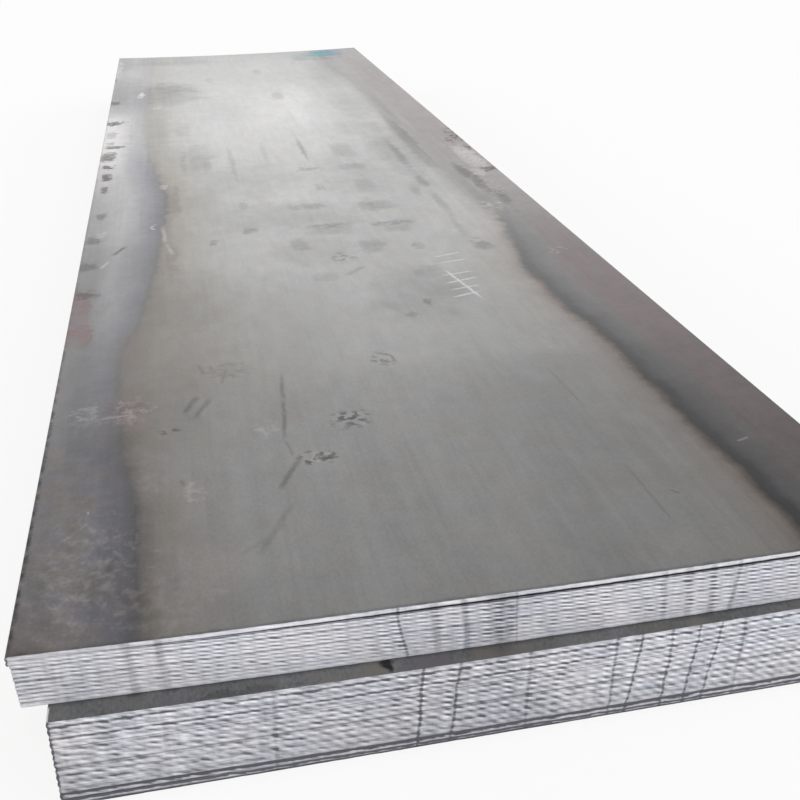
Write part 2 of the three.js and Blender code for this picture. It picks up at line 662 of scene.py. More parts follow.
@dataclass(frozen=True)
class LedgeScale(MillScale):
    """The dull dark scale where the lower pack stands out from under the upper one.

    It lies in warmer and cooler blotches, with a painted contact shadow where the upper pack rests on it and
    a few dark marks.
    """

    tone: Colour = (0.195, 0.198, 0.198)
    warm: Colour = (0.235, 0.22, 0.19)
    violet: Colour = (0.19, 0.178, 0.192)
    # Dark colour for the marks and for the painted contact shadow at the upper pack's foot.
    soot_and_shade: Colour = (0.03, 0.03, 0.03)
    steel: Colour = (0.80, 0.79, 0.80)
    roughness: float = 0.5
    cloud: float = 1.2
    strand: float = 0.3
    speck: float = 0.8
    blotches: Grain = Grain(11.0, 11.0, 44.0, 3.0)
    blotch_strength: float = 0.8
    warm_ease: Ease = (0.0, 0.15)
    violet_ease: Ease = (-0.02, -0.15)
    contact_shadow_waver: float = 0.012
    rest: Ease = (-0.012, 0.0)
    contact_shadow_strength: float = 0.45
    bare_shine: float = 0.7
    ledge_dark_marks: Marks = (
        Patch(0.515, -0.004, 0.016, 0.012, 1.0, 0.3), Patch(0.515, -0.014, 0.009, 0.020, 1.0, 0.3),
        Patch(0.300, -0.030, 0.120, 0.010, 0.3),
    )
    bare_marks: Marks = (Stroke((0.003, -0.045), (0.003, -0.006), 0.003, 1.0, 0.3),)

    def coat(self, place: Place) -> Coat:
        """Adds the nodes of the ledge's scale.

        Args:
            place: where a point lies.

        Returns:
            The finish.
        """
        nodes, plain, drawing = place.nodes, super().coat(place), Drawing(place)
        blotch = nodes.grain(self.blotches, drawing.x, drawing.y, 1.0)
        colour = plain.colour
        for ease, tint in ((self.warm_ease, self.warm), (self.violet_ease, self.violet)):
            colour = nodes.mix(blotch.rise(*ease) * self.blotch_strength, colour, tint)
        # Painted contact shadow: darker within about a centimetre of the upper pack's foot.
        rest = (drawing.y + drawing.broken * self.contact_shadow_waver).rise(*self.rest) * self.contact_shadow_strength
        soot_and_shade = rest.at_least(drawing.all(self.ledge_dark_marks))
        bare = drawing.all(self.bare_marks)
        colour = nodes.mix(bare, nodes.mix(soot_and_shade, colour, self.soot_and_shade), self.steel)
        return Coat(colour, plain.metallic - bare * self.bare_shine, plain.roughness, plain.bump)


@dataclass(frozen=True)
class TopScale(MillScale):
    """The top plate's face, with its heat bands, scratches, smudges and chalk marks.

    Places are metres from the plate's near left corner: the first across, the second along.
    """

    left_band: Points = (
        (0.0, 0.197), (0.3, 0.192), (0.45, 0.182), (0.55, 0.165), (0.75, 0.15), (1.0, 0.143),
        (1.15, 0.15), (1.3, 0.182), (1.5, 0.2), (2.0, 0.238), (2.3, 0.252), (2.5, 0.262),
        (2.65, 0.252), (2.8, 0.235), (3.0, 0.22), (3.2, 0.204), (3.6, 0.182), (4.0, 0.174),
        (4.5, 0.192), (6.0, 0.21),
    )
    right_band: Points = (
        (0.0, 1.304), (0.4, 1.302), (0.7, 1.298), (1.0, 1.29), (1.2, 1.275), (1.4, 1.268),
        (1.63, 1.29), (1.85, 1.316), (2.1, 1.335), (2.6, 1.335), (6.0, 1.335),
    )
    far_band: Points = (
        (0.0, 1.3), (2.0, 1.3), (2.6, 1.29), (3.0, 1.275), (3.8, 1.267), (4.7, 1.265), (5.0, 1.235),
        (5.3, 1.217), (6.0, 1.2),
    )
    left_profile: Stops = (
        (-0.25, (0.74, 0.72, 0.73)),
        (-0.2, (0.86, 0.84, 0.85)),
        (-0.13, (0.85, 0.84, 0.87)),
        (-0.1, (0.66, 0.66, 0.7)),
        (-0.065, (0.47, 0.47, 0.54)),
        (-0.035, (0.31, 0.305, 0.38)),
        (-0.006, (0.19, 0.185, 0.2)),
        (0.005, (0.44, 0.38, 0.32)),
        (0.028, (0.78, 0.73, 0.66)),
        (0.08, (0.95, 0.91, 0.86)),
        (0.18, (1.0, 1.0, 1.0)),
    )
    left_depth: Points = (
        (0.0, 0.7), (0.4, 0.7), (0.6, 0.72), (0.8, 0.63), (1.0, 0.7), (1.2, 0.68), (1.4, 0.75),
        (2.0, 0.88), (2.5, 1.0), (3.0, 0.9), (3.3, 0.62), (3.6, 0.5), (4.0, 0.54), (4.4, 0.75),
        (4.6, 0.75), (5.0, 0.45), (6.0, 0.4),
    )
    left_sharpness: Points = (
        (0.0, 0.9), (0.45, 0.9), (0.8, 0.4), (1.4, 0.5), (1.9, 0.9), (6.0, 1.0),
    )
    halo_profile: Stops = (
        (-0.02, (1.0, 1.0, 1.0)),
        (0.02, (0.66, 0.635, 0.57)),
        (0.06, (0.66, 0.645, 0.6)),
        (0.13, (0.8, 0.8, 0.765)),
        (0.2, (0.9, 0.9, 0.885)),
        (0.32, (1.0, 1.0, 1.0)),
    )
    halo_depth: Points = (
        (0.0, 0.0), (0.6, 0.07), (1.2, 0.64), (2.0, 0.64), (2.5, 0.71), (3.0, 0.8), (3.5, 1.0),
        (4.0, 1.0), (4.5, 0.95), (5.3, 0.4), (6.0, 0.35),
    )
    right_profile: Stops = (
        (-0.22, (1.0, 1.0, 1.0)),
        (-0.14, (0.98, 0.975, 0.95)),
        (-0.09, (0.96, 0.94, 0.9)),
        (-0.045, (0.88, 0.82, 0.78)),
        (-0.024, (0.74, 0.66, 0.59)),
        (-0.01, (0.42, 0.36, 0.33)),
        (0.002, (0.17, 0.165, 0.16)),
        (0.016, (0.187, 0.19, 0.203)),
        (0.035, (0.312, 0.315, 0.334)),
        (0.06, (0.398, 0.38, 0.392)),
        (0.082, (0.465, 0.435, 0.44)),
        (0.11, (0.486, 0.41, 0.41)),
        (0.2, (0.47, 0.395, 0.405)),
    )
    right_depth: Points = (
        (0.0, 1.0), (1.5, 0.98), (1.95, 0.82), (2.1, 0.5), (2.25, 0.1), (2.5, 0.0), (6.0, 0.0),
    )
    far_profile: Stops = (
        (-0.05, (1.0, 1.0, 1.0)),
        (-0.01, (0.77, 0.745, 0.715)),
        (0.02, (0.48, 0.45, 0.435)),
        (0.06, (0.47, 0.43, 0.42)),
        (0.11, (0.56, 0.49, 0.495)),
        (0.2, (0.56, 0.485, 0.495)),
    )
    far_depth: Points = (
        (0.0, 0.0), (1.95, 0.0), (2.1, 0.3), (2.3, 0.8), (2.8, 0.8), (3.4, 1.0), (4.6, 1.0), (5.0, 0.88),
        (6.0, 0.85),
    )
    # Partly painted sheen: the tone along the plate is darker at the near end and lightest about four metres
    # out, where the scale would reflect the bright horizon.
    length_tone_and_sheen: Points = (
        (0.0, 0.82), (0.5, 0.81), (0.75, 0.79), (1.0, 0.88), (1.5, 0.9), (2.0, 0.91), (2.5, 0.93),
        (3.0, 0.98), (3.5, 1.1), (4.0, 1.14), (4.5, 1.07), (5.0, 0.94), (5.5, 0.84), (6.0, 0.71),
    )
    cross_tone: Points = (
        (0.0, 1.0), (0.5, 1.03), (0.75, 1.02), (0.95, 0.93), (1.1, 0.87), (1.25, 0.85), (1.5, 0.85),
    )
    margin_tone: Points = (
        (0.0, 0.6), (0.25, 0.8), (0.5, 0.74), (0.75, 0.8), (1.0, 0.665), (1.25, 0.65), (1.5, 0.53),
        (1.75, 0.55), (2.0, 0.65), (2.5, 0.9), (3.0, 1.25), (3.5, 1.6), (4.0, 1.22), (4.4, 0.62),
        (4.7, 0.6), (5.0, 0.66), (5.5, 0.75), (6.0, 0.52),
    )
    highlight_marks: Marks = (
        Patch(0.895, 4.05, 0.055, 0.6, 0.95, 0.5), Cloud(0.9, 3.3, 0.05, 0.4, 0.3, 0.5),
        Cloud(0.85, 4.05, 0.16, 0.6, 0.5, 0.6), Cloud(0.72, 2.45, 0.1, 0.25, 0.5),
        Cloud(1.08, 1.75, 0.1, 0.25, 0.5), Cloud(0.5, 0.22, 0.2, 0.25, 0.35),
        Cloud(0.98, 2.7, 0.2, 0.5, 0.2), Cloud(1.2, 2.0, 0.14, 0.35, 0.7),
        Cloud(0.95, 4.5, 0.08, 0.35, 1.1), Cloud(0.98, 5.4, 0.28, 0.5, 0.6),
    )
    shaded: Marks = (
        Cloud(1.1, 0.62, 0.3, 0.36, 0.07, 1.0), Cloud(0.26, 0.8, 0.1, 0.3, 0.1, 1.0),
        Cloud(0.3, 1.48, 0.14, 0.26, 0.13, 1.0), Cloud(0.92, 1.38, 0.15, 0.22, 0.2, 1.2),
        Cloud(0.13, 1.84, 0.12, 0.22, 0.14, 1.0), Cloud(0.7, 1.83, 0.16, 0.14, 0.14, 1.4),
        Cloud(0.66, 2.22, 0.26, 0.2, 0.18, 1.6), Cloud(0.4, 2.5, 0.07, 0.2, 0.14, 1.0),
        Cloud(0.96, 2.72, 0.16, 0.34, 0.15, 1.6), Cloud(0.55, 2.75, 0.22, 0.28, 0.14, 1.6),
        Cloud(0.38, 3.1, 0.09, 0.4, 0.18, 1.4), Cloud(1.18, 3.15, 0.09, 0.65, 0.34, 1.2),
        Cloud(0.23, 3.8, 0.07, 0.6, 0.22, 1.0), Cloud(0.48, 4.15, 0.16, 0.4, 0.12, 1.0),
        Cloud(0.28, 4.65, 0.2, 0.36, 0.48, 1.2), Cloud(0.08, 4.7, 0.11, 0.55, 0.46),
        Cloud(0.07, 5.75, 0.1, 0.25, 0.25), Cloud(0.3, 4.0, 0.2, 0.25, 0.1),
        Cloud(1.1, 3.58, 0.1, 0.24, 0.15), Cloud(1.17, 4.1, 0.1, 0.5, 0.26, 1.0),
        Cloud(1.18, 5.05, 0.1, 0.6, 0.22, 1.0), Cloud(0.3, 5.8, 0.3, 0.2, 0.35, 1.0),
    )
    dark_marks: Marks = (
        Stroke((0.5, 0.94), (0.473, 0.593), 0.0085, 0.75),
        Stroke((0.474, 0.6), (0.482, 0.53), 0.007, 0.45),
        Stroke((0.496, 0.525), (0.441, 0.402), 0.01, 0.85),
        Stroke((0.46, 0.352), (0.386, 0.192), 0.012, 0.4),
        Stroke((0.309, 0.85), (0.276, 0.765), 0.012, 0.75),
        Stroke((0.337, 0.835), (0.296, 0.735), 0.011, 0.65),
        Stroke((0.42, 0.253), (0.355, 0.2), 0.01, 0.25),
        Stroke((1.097, 0.833), (1.11, 0.6), 0.006, 0.3),
        Stroke((1.095, 0.358), (1.103, 0.13), 0.0045, 0.4),
        Stroke((1.14, 0.24), (1.152, 0.222), 0.006, 0.5),
        Stroke((0.316, 1.03), (0.324, 0.96), 0.009, 0.45),
        Stroke((0.342, 1.015), (0.346, 0.95), 0.008, 0.4),
        Stroke((0.375, 0.985), (0.362, 0.9), 0.009, 0.5),
        Stroke((0.815, 1.64), (0.745, 1.565), 0.016, 0.4),
        Stroke((0.15, 0.245), (0.138, 0.19), 0.011, 0.9),
        Stroke((0.262, 0.48), (0.274, 0.45), 0.008, 0.5), Scuffs(0.618, 0.664, 0.052, 0.052, 1.2),
        Scuffs(0.528, 0.512, 0.048, 0.036, 1.2), Scuffs(0.242, 0.695, 0.036, 0.02),
        Scuffs(0.742, 0.97, 0.036, 0.048, 0.7), Scuffs(0.38, 0.975, 0.06, 0.06, 0.35),
        Smudge(0.372, 0.985, 0.04, 0.04, 0.25, 2.0), Scuffs(0.77, 1.735, 0.045, 0.05, 0.6),
        Smudge(0.15, 0.815, 0.05, 0.03, 0.45, 1.6), Patch(1.19, 1.745, 0.028, 0.06, 0.55, 1.6),
        Smudge(1.204, 1.725, 0.03, 0.022, 0.5, 1.4), Smudge(0.69, 1.575, 0.04, 0.04, 0.35),
        Smudge(0.98, 1.54, 0.04, 0.05, 0.4), Smudge(0.653, 1.883, 0.03, 0.055, 0.5, 1.6),
        Smudge(0.87, 1.82, 0.035, 0.065, 0.5, 1.8), Smudge(1.007, 1.792, 0.024, 0.03, 0.5),
        Patch(0.925, 1.3, 0.012, 0.02, 0.6), Patch(0.866, 1.225, 0.018, 0.022, 0.4),
        Smudge(0.77, 2.03, 0.085, 0.065, 0.45), Smudge(0.765, 2.078, 0.085, 0.014, 0.6, 0.8),
        Smudge(0.976, 2.05, 0.07, 0.024, 0.8, 0.9), Smudge(0.985, 2.0, 0.05, 0.06, 0.45, 1.4),
        Smudge(0.97, 2.27, 0.068, 0.06, 0.6), Smudge(0.96, 2.3, 0.06, 0.018, 0.5, 1.0),
        Smudge(0.73, 2.32, 0.07, 0.034, 0.5), Smudge(0.517, 2.07, 0.026, 0.034, 0.7),
        Smudge(0.517, 2.383, 0.014, 0.05, 0.65), Smudge(0.397, 1.97, 0.012, 0.034, 0.7),
        Smudge(0.975, 2.54, 0.04, 0.1, 0.4), Smudge(0.81, 2.56, 0.018, 0.06, 0.45),
        Smudge(0.972, 2.84, 0.06, 0.06, 0.45), Smudge(0.795, 2.845, 0.04, 0.02, 0.55),
        Smudge(0.4, 3.04, 0.04, 0.15, 0.35), Cloud(0.33, 3.05, 0.012, 0.2, 0.3),
        Cloud(0.52, 3.02, 0.012, 0.3, 0.35), Cloud(0.66, 3.18, 0.01, 0.2, 0.25),
        Cloud(0.82, 3.2, 0.012, 0.22, 0.55, 0.6), Smudge(0.98, 3.14, 0.05, 0.13, 0.4),
        Smudge(0.34, 3.7, 0.04, 0.13, 0.3), Cloud(1.175, 1.95, 0.016, 0.12, 0.3),
        Cloud(1.185, 2.23, 0.018, 0.16, 0.4), Cloud(1.135, 2.42, 0.02, 0.07, 0.35),
        Cloud(1.185, 2.54, 0.02, 0.09, 0.5), Cloud(1.186, 2.95, 0.018, 0.3, 0.5),
        Cloud(1.275, 3.25, 0.03, 0.6, 0.6), Cloud(1.288, 3.2, 0.014, 0.45, 0.6, 0.6),
        Cloud(1.31, 4.0, 0.02, 0.5, 0.25), Cloud(1.362, 2.64, 0.022, 0.15, 0.75),
        Cloud(1.382, 2.44, 0.02, 0.16, 0.85, 0.6), Cloud(1.405, 2.24, 0.022, 0.11, 0.6),
        Smudge(0.29, 4.82, 0.07, 0.16, 0.4), Smudge(0.8, 5.26, 0.026, 0.09, 0.45),
        Smudge(0.52, 5.04, 0.022, 0.09, 0.4), Smudge(0.84, 4.46, 0.03, 0.1, 0.45),
    )
    edge_marks: Marks = (
        Smudge(0.034, 3.906, 0.036, 0.05, 1.3, 1.8), Smudge(0.06, 3.93, 0.04, 0.016, 0.8),
        Smudge(0.056, 3.406, 0.044, 0.03, 1.2, 1.8), Smudge(0.03, 3.48, 0.02, 0.03, 0.7, 1.8),
        Smudge(0.03, 3.66, 0.024, 0.07, 0.6, 2.2), Smudge(0.034, 3.22, 0.032, 0.085, 1.1, 1.4),
        Smudge(0.036, 3.045, 0.024, 0.035, 1.1, 2.0), Smudge(0.038, 2.88, 0.02, 0.06, 1.2, 2.0),
        Smudge(0.04, 2.69, 0.014, 0.055, 1.1, 2.0), Smudge(0.04, 2.34, 0.018, 0.04, 0.5, 2.0),
        Smudge(0.03, 2.06, 0.024, 0.035, 0.55, 2.0), Smudge(0.03, 1.8, 0.03, 0.03, 0.5, 2.0),
        Smudge(0.04, 1.555, 0.036, 0.03, 0.75, 2.0), Smudge(0.018, 4.43, 0.022, 0.05, 0.6, 2.0),
        Patch(0.01, 5.15, 0.008, 0.06, 0.6, 1.4), Stroke((0.13, 1.99), (0.09, 1.9), 0.01, 0.6),
        Smudge(1.468, 2.64, 0.034, 0.028, 0.8, 1.4), Patch(1.484, 3.01, 0.014, 0.06, 0.7, 1.6),
        Wisps(1.482, 3.27, 0.03, 0.14, 1.4), Wisps(1.44, 3.16, 0.02, 0.06, 0.8),
    )
    pale_marks: Marks = (
        Smudge(0.058, 3.64, 0.062, 0.5, 1.1, 1.0), Cloud(0.085, 3.6, 0.034, 0.52, 0.9),
        Smudge(0.032, 3.6, 0.034, 0.26, 1.1, 1.4), Wisps(0.45, 5.84, 0.5, 0.11, 0.8),
        Smudge(0.3, 5.87, 0.06, 0.06, 0.6, 1.4), Patch(0.015, 5.55, 0.02, 0.45, 0.8, 1.4),
        Patch(0.215, 2.18, 0.012, 0.04, 0.9), Cloud(0.15, 4.634, 0.018, 0.075, 1.6, 0.2),
        Smudge(0.23, 4.266, 0.022, 0.045, 0.7, 1.0), Smudge(1.446, 2.86, 0.04, 0.2, 1.2, 2.4),
        Smudge(1.415, 2.6, 0.024, 0.06, 0.7, 1.8), Wisps(1.35, 2.15, 0.05, 0.06, 0.9),
        Wisps(1.4, 2.36, 0.06, 0.16, 0.35), Wisps(1.395, 1.62, 0.03, 0.06, 0.55),
        Stroke((0.243, 2.19), (0.25, 2.0), 0.012, 0.55), Stroke((0.25, 2.0), (0.272, 1.87), 0.01, 0.45),
        Smudge(0.247, 2.7, 0.014, 0.04, 0.8), Smudge(0.05, 2.13, 0.014, 0.03, 0.4),
        Stroke((0.085, 1.85), (0.062, 1.78), 0.009, 0.6), Wisps(0.105, 0.2, 0.11, 0.19, 0.24),
        Wisps(0.19, 0.1, 0.15, 0.12, 0.13), Wisps(0.16, 0.795, 0.045, 0.06, 0.42),
        Wisps(0.085, 0.79, 0.06, 0.05, 0.35), Wisps(0.44, 0.655, 0.03, 0.045, 0.35),
        Wisps(0.285, 0.43, 0.022, 0.04, 0.4), Wisps(0.61, 0.655, 0.05, 0.04, 0.3),
        Wisps(0.53, 0.512, 0.04, 0.024, 0.55), Wisps(0.21, 0.465, 0.04, 0.06, 0.14),
        Stroke((0.052, 0.828), (0.09, 0.838), 0.007, 0.3),
        Stroke((0.05, 0.8), (0.085, 0.77), 0.007, 0.3), Stroke((0.1, 0.772), (0.17, 0.785), 0.006, 0.4),
        Stroke((0.146, 0.26), (0.163, 0.235), 0.008, 0.2),
        Stroke((1.345, 0.38), (1.375, 0.392), 0.006, 0.3), Patch(0.096, 0.39, 0.003, 0.008, 0.4, 0.6),
    )
    rust_marks: Marks = (
        Smudge(0.018, 1.48, 0.034, 0.12, 2.2, 2.2), Smudge(0.03, 1.265, 0.034, 0.09, 2.2, 2.2),
        Smudge(0.01, 1.34, 0.02, 0.15, 1.5, 2.0), Wisps(0.014, 1.0, 0.02, 0.22),
        Smudge(0.15, 0.8, 0.045, 0.06, 0.8, 1.8), Smudge(0.175, 0.73, 0.03, 0.04, 0.7, 1.8),
        Smudge(0.27, 0.15, 0.08, 0.11, 0.4, 1.8), Patch(0.05, 0.04, 0.07, 0.1, 0.3, 1.4),
        Smudge(1.41, 1.58, 0.036, 0.08, 0.9, 1.6), Patch(1.45, 1.35, 0.09, 0.95, 0.35, 0.8),
        Wisps(1.41, 2.06, 0.06, 0.2, 0.6), Wisps(1.27, 0.9, 0.018, 0.7, 0.6),
        Patch(0.265, 1.82, 0.02, 0.24, 0.5, 1.0), Patch(0.29, 2.5, 0.016, 0.24, 0.5, 1.0),
        Smudge(1.22, 5.64, 0.16, 0.05, 0.6, 1.4), Smudge(1.43, 4.2, 0.085, 1.5, 0.42, 1.6),
        Smudge(0.165, 1.15, 0.045, 0.16, 0.5, 2.0), Smudge(0.19, 0.9, 0.04, 0.11, 0.4, 2.0),
    )
    chalk_marks: Marks = (
        Stroke((1.0, 1.322), (1.09, 1.35), 0.0072, 0.8, 1.3),
        Stroke((1.006, 1.38), (1.098, 1.398), 0.0072, 0.75, 1.3),
        Stroke((1.008, 1.434), (1.108, 1.464), 0.0072, 0.8, 1.3),
        Stroke((1.012, 1.5), (1.106, 1.516), 0.0072, 0.7, 1.3),
        Stroke((1.078, 1.288), (1.03, 1.56), 0.0072, 0.85, 1.3),
        Stroke((1.022, 1.608), (1.12, 1.626), 0.0072, 0.75, 1.3),
        Stroke((1.026, 1.664), (1.118, 1.694), 0.0072, 0.8, 1.3),
    )
    paint: Stops = (
        (0.0, (0.5, 0.57, 0.58)),
        (0.3, (0.3, 0.55, 0.6)),
        (0.55, (0.14, 0.42, 0.5)),
        (0.8, (0.11, 0.38, 0.48)),
        (1.0, (0.3, 0.45, 0.7)),
    )
    paint_marks: Marks = (
        Patch(1.265, 5.83, 0.14, 0.14, 0.85, 1.0), Patch(1.11, 5.73, 0.07, 0.11, 0.5, 1.8),
    )
    chalk: Colour = (0.8, 0.81, 0.8)
    rust: Colour = (0.26, 0.17, 0.178)
    pale: Colour = (0.88, 0.86, 0.85)
    # A dark colour for the smudges and nicks, also laid on as painted edge shade along the near end.
    soot_and_shade: Colour = (0.06, 0.06, 0.06)
    highlight: float = 0.2
    margin: Ease = (0.12, 0.036)
    right_margin: Ease = (1.3, 1.42)
    corner_across: Ease = (0.3, 0.1)
    corner_along: Ease = (1.2, 0.3)
    away: Ease = (0.3, 2.0)
    blotches: Grain = Grain(22.0, 22.0, layers=4.0, rough=0.65)
    mottle: float = 0.15
    right_mottle: float = 0.3
    corner_mottle: float = 0.5
    smears: Grain = Grain(30.0, 9.0, layers=3.0, rough=0.6)
    smear: Slope = (0.144, 0.216)
    drawn_streaks: Grain = Grain(90.0, 1.2, rough=0.6)
    drawn_out: float = 0.16
    brown: Colour = (1.0, 0.93, 0.87)
    violet: Colour = (0.96, 0.94, 1.0)
    violet_share: Slope = (5.0, 0.5)
    tint: Slope = (0.65, 0.25)
    band_coarse: float = 0.01
    band_fine: float = 0.008
    band_along: Slope = (0.8, 1.0)
    left_soft: float = 0.03
    right_soft: float = 0.04
    rim: Ease = (0.011, 0.0033)
    rim_waver: float = 0.011
    rim_share: Slope = (4.0, 0.6)
    rim_along: Ease = (1.7, 0.8)
    rim_least: float = 0.45
    # Painted edge shade: a dark line on the face along its near end.
    cut: Ease = (0.01, 0.003)
    near_edge_shade_waver: float = 0.006
    near_edge_shade_share: Slope = (1.0, 0.3)
    rust_share: Slope = (4.5, 0.8)
    dab_waver: float = 0.5
    dab_share: Slope = (4.0, -4.4)
    dark_shows: float = 0.62
    rust_shows: float = 0.6
    pale_shows: float = 0.6
    nick_shows: float = 0.85
    pale_hides: float = 0.35
    nick_hides: float = 0.8
    paint_hides: float = 0.7
    rust_tarnishes: float = 0.4
    dark_roughens: float = 0.08
    rust_roughens: float = 0.15
    laid_on_roughens: float = 0.4

    def coat(self, place: Place) -> Coat:
        """Adds the nodes of the top face's scale and all its marks.

        Args:
            place: where a point lies.

        Returns:
            The finish.
        """
        nodes, plain, drawing = place.nodes, super().coat(place), Drawing(place)
        blotch = nodes.grain(self.blotches, drawing.x, drawing.y)
        # The scale with painted sheen, highlights and shade laid on, and its own mottles and smears.
        colour = self.heat_bands(drawing, self.worn(drawing, plain.colour, blotch))
        rim = (drawing.x + drawing.fine * self.rim_waver).rise(*self.rim)
        rim = rim * drawing.coarse.share(self.rim_share)
        rim = rim * drawing.y.rise(*self.rim_along, self.rim_least, 1.0)
        # Painted edge shade: darkens the face within a centimetre of its near end.
        cut = (drawing.y + drawing.broken * self.near_edge_shade_waver).rise(*self.cut)
        cut = cut * drawing.coarse.share(self.near_edge_shade_share)
        dark = drawing.all(self.dark_marks)
        rust = drawing.all(self.rust_marks) * blotch.share(self.rust_share)
        pale = drawing.all(self.pale_marks, -1.0)
        nick = drawing.all(self.edge_marks)
        chalk = drawing.all(self.chalk_marks)
        paint = drawing.all(self.paint_marks)
        for cover, top in (
            (rim, self.soot_and_shade),
            (cut, self.soot_and_shade),
            (dark * self.dark_shows, self.soot_and_shade),
            ((rust * self.rust_shows).held(), self.rust),
            ((pale * self.pale_shows).held(), self.pale),
            ((nick * self.nick_shows).held(), self.soot_and_shade),
            (chalk, self.chalk),
        ):
            colour = nodes.mix(cover, colour, top)
        dab = (drawing.x + drawing.coarse * self.dab_waver).share(self.dab_share)
        colour = nodes.mix(paint, colour, nodes.ramp(dab, self.paint))
        laid_on = chalk.at_least(paint * self.paint_hides).at_least(pale * self.pale_hides)
        laid_on = laid_on.at_least(nick * self.nick_hides).at_most(1.0)
        metallic = plain.metallic * (1.0 - laid_on) * (1.0 - rust * self.rust_tarnishes)
        roughness = plain.roughness + laid_on * self.laid_on_roughens
        roughness = roughness + rust * self.rust_roughens + dark * self.dark_roughens
        return Coat(colour, metallic, roughness, plain.bump)

    def worn(self, drawing: Drawing, under: Value, blotch: Value) -> Value:
        """Lightens and darkens the scale with painted sheen, highlights and shade, and where it is mottled
        or smeared.

        Args:
            drawing: the face.
            under: the plain scale's colour.
            blotch: the face's blotches.

        Returns:
            The worn scale's colour.
        """
        nodes, x, y = drawing.nodes, drawing.x, drawing.y
        tone = y.line(self.length_tone_and_sheen) * x.line(self.cross_tone) * (1.0 - drawing.all(self.shaded))
        tone = tone * (1.0 + drawing.all(self.highlight_marks) * self.highlight)
        tone = tone * (1.0 + x.rise(*self.margin) * (y.line(self.margin_tone) - 1.0))
        corner = x.rise(*self.corner_across) * y.rise(*self.corner_along)
        away = y.rise(*self.away)
        smear = nodes.grain(self.smears, x, y) * away.scaled(*self.smear)
        smear = smear + nodes.grain(self.drawn_streaks, x, y) * away * self.drawn_out
        mottle = corner * self.corner_mottle + x.rise(*self.right_margin) * self.right_mottle + self.mottle
        tone = tone * (1.0 + blotch * mottle + smear)
        tint = nodes.mix(drawing.soft.share(self.violet_share), self.brown, self.violet)
        return nodes.mix(corner.scaled(*self.tint), nodes.shade(under, tone), tint, "MULTIPLY")

    def heat_bands(self, drawing: Drawing, under: Value) -> Value:
        """Lays the two dark heat bands and the dull margins outside them over a colour.

        Args:
            drawing: the face.
            under: the colour.

        Returns:
            The colour with the bands on it.
        """
        nodes, x, y = drawing.nodes, drawing.x, drawing.y
        ragged = drawing.coarse * self.band_coarse + drawing.fine * self.band_fine
        ragged = ragged * y.scaled(*self.band_along)
        left = x - y.line(self.left_band) + ragged + drawing.soft * self.left_soft
        left = left.at_most(left * y.line(self.left_sharpness))
        uneven = ragged + drawing.soft * self.right_soft
        right, far = (x - y.line(band) + uneven for band in (self.right_band, self.far_band))
        colour = under
        for at, depth, profile in (
            (left, self.left_depth, self.left_profile),
            (left, self.halo_depth, self.halo_profile),
            (right, self.right_depth, self.right_profile),
            (far, self.far_depth, self.far_profile),
        ):
            colour = nodes.mix(y.line(depth), colour, nodes.ramp(at, profile), "MULTIPLY")
        return colour


@dataclass(frozen=True)
class Streak:
    """A dark streak down a pack's end, from its top to its foot, in metres from the left."""

    top: float
    foot: float
    width: float
    strength: float


@dataclass(frozen=True)
class Line:
    """A dark line along a pack's end, in plates below the pack's top at the left and the right."""

    left: float
    right: float
    width: float
    strength: float
    start: float = 0.0
    levels_at: float = 0.5


